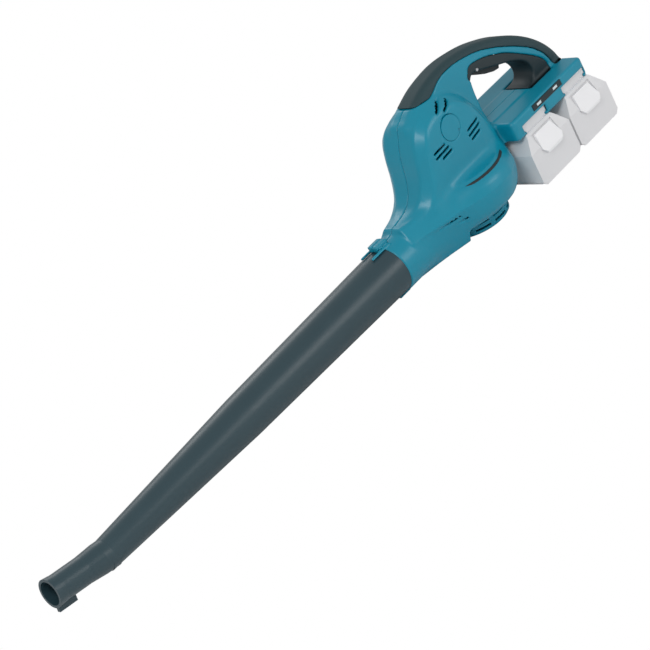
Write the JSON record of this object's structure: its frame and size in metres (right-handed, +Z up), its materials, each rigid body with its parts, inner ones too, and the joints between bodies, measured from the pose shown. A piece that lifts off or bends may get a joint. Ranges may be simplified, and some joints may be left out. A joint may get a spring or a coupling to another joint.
{
  "type": "leaf blower",
  "caption": "Hand-held cordless blower: long bent nozzle on a fan housing with a loop handle, trigger and two slide-on packs.",
  "frame": {"origin": "on the fan axis, on the flat bottom of the intake dome, which is the plane the blower stands on", "axes": "+Z up along the fan axis, +X to the rear so that the nozzle points along -X, -Y to the operator's left"},
  "size_m": [0.9077, 0.135, 0.179],
  "materials": {
    "teal_shell": "moulded glass-filled nylon in blue-green, soft gloss",
    "soft_grip": "matt dark elastomer overmould with a fine grain",
    "dark_insert": "matt dark blue-black moulding",
    "nozzle_plastic": "charcoal moulded polypropylene, half gloss",
    "inner_plastic": "dark moulding inside the body",
    "steel_parts": "zinc-plated or ground steel",
    "motor_steel": "plated steel can and laminations",
    "magnet": "dark grey ferrite",
    "winding_copper": "lacquered copper",
    "brass_parts": "drawn brass",
    "carbon": "pressed carbon",
    "board": "green circuit board with parts",
    "clear_lens": "pale lens",
    "cable": "flat insulated cable",
    "pack_case": "pale grey moulded case",
    "pack_upper": "pale grey moulded case",
    "pack_button": "white moulded button",
    "cell_metal": "cylindrical cells in a thin sleeve"
  },
  "bodies": {
    "housing": {"housing_left": "teal_shell", "housing_right": "teal_shell", "top_grip": "soft_grip", "inner_grip": "dark_insert", "housing_screws": "steel_parts", "intake_grille": "teal_shell", "grille_screws": "steel_parts", "inlet_bellmouth": "inner_plastic", "fan_deck": "inner_plastic", "motor_screws": "steel_parts", "motor_can": "motor_steel", "motor_magnets": "magnet", "motor_end_bell": "inner_plastic", "brush_holders": "brass_parts", "carbon_brushes": "carbon", "brush_springs": "steel_parts", "brush_holder_caps": "inner_plastic", "brush_cover_left": "teal_shell", "brush_cover_right": "teal_shell", "lower_bearing": "steel_parts", "upper_bearing": "steel_parts", "switch_unit": "inner_plastic", "trigger_pin": "steel_parts", "controller_board": "board", "indicator_panel": "dark_insert", "indicator_leds": "clear_lens", "front_terminal_block": "inner_plastic", "rear_terminal_block": "inner_plastic", "terminal_blades": "brass_parts", "wiring": "cable"},
    "rotor": {"motor_shaft": "steel_parts", "armature_core": "motor_steel", "armature_windings": "winding_copper", "commutator": "winding_copper", "impeller": "inner_plastic", "impeller_nut": "steel_parts"},
    "trigger": {"trigger": "dark_insert"},
    "nozzle": {"long_nozzle": "nozzle_plastic"},
    "front_pack": {"front_pack_lower_case": "pack_case", "front_pack_upper_case": "pack_upper", "front_pack_cells": "cell_metal", "front_pack_screws": "steel_parts"},
    "rear_pack": {"rear_pack_lower_case": "pack_case", "rear_pack_upper_case": "pack_upper", "rear_pack_cells": "cell_metal", "rear_pack_screws": "steel_parts"},
    "front_button": {"front_pack_button": "pack_button"},
    "rear_button": {"rear_pack_button": "pack_button"}
  },
  "joints": [
    {"name": "rotor_spin", "type": "hinge", "parent": "housing", "child": "rotor", "pos_m": [0, 0, 0.09], "axis": [0, 0, 1], "continuous": true},
    {"name": "trigger_pull", "type": "hinge", "parent": "housing", "child": "trigger", "pos_m": [0.0825, 0, 0.146], "axis": [0, -1, 0], "range_deg": [0, 8], "stiffness_Nm_per_rad": 1.2, "springref_deg": -6.88},
    {"name": "nozzle_twist", "type": "hinge", "parent": "housing", "child": "nozzle", "pos_m": [-0.142, 0, 0.033], "axis": [-1, 0, 0], "range_deg": [0, 30]},
    {"name": "front_pack_slide", "type": "slide", "parent": "housing", "child": "front_pack", "axis": [0, -1, 0], "range_m": [0, 0.125]},
    {"name": "rear_pack_slide", "type": "slide", "parent": "housing", "child": "rear_pack", "axis": [0, -1, 0], "range_m": [0, 0.125]},
    {"name": "front_button_press", "type": "slide", "parent": "front_pack", "child": "front_button", "axis": [0, -0.3219, -0.9468], "range_m": [0, 0.006], "stiffness_N_per_m": 400, "springref_m": -0.004},
    {"name": "rear_button_press", "type": "slide", "parent": "rear_pack", "child": "rear_button", "axis": [0, -0.3219, -0.9468], "range_m": [0, 0.006], "stiffness_N_per_m": 400, "springref_m": -0.004}
  ]
}
